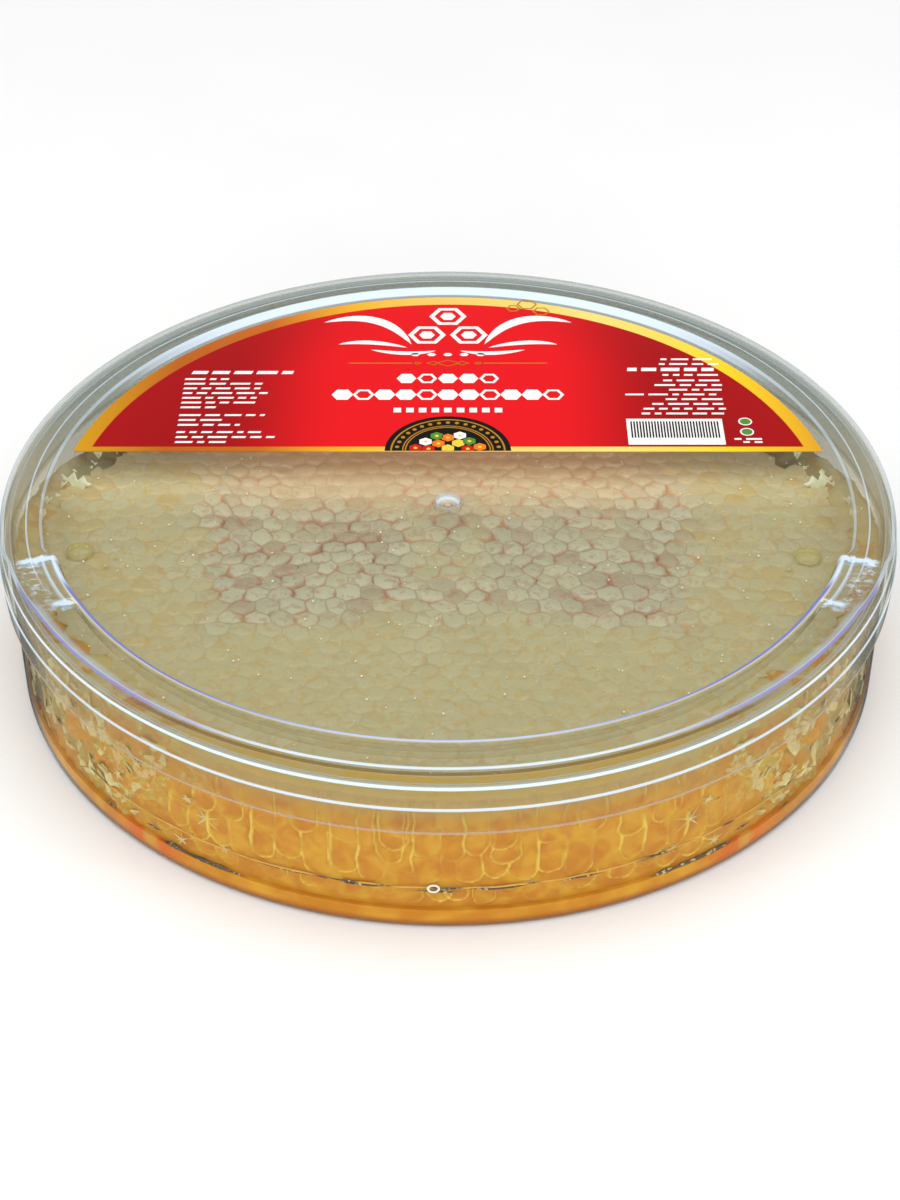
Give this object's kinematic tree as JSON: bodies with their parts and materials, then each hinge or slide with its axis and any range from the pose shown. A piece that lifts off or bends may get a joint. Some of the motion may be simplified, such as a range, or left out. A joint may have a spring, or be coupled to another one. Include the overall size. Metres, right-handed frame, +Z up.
{
  "type": "comb honey in a clear round tub",
  "caption": "Round disc of capped honeycomb in a shallow clear plastic tub, with a press-on clear lid and a half-moon label.",
  "frame": {"origin": "centre of the tub's underside, on the surface it stands on", "axes": "+Z up through the tub's axis; -Y is the front, where the lid's raised crescent is; the label lies on the +Y half of the lid"},
  "size_m": [0.2216, 0.2216, 0.048],
  "materials": {
    "clear_tub": "clear moulded plastic, glossy",
    "clear_lid": "clear moulded plastic, glossy",
    "label_print": "satin printed film in red with a gold border",
    "comb_wax": "pale beeswax caps, matt with wet glints",
    "honey": "clear amber honey, glossy"
  },
  "bodies": {
    "root": {"tub": "clear_tub", "lid": "clear_lid", "label": "label_print", "honeycomb": "comb_wax", "honey_pool": "honey"}
  },
  "joints": []
}
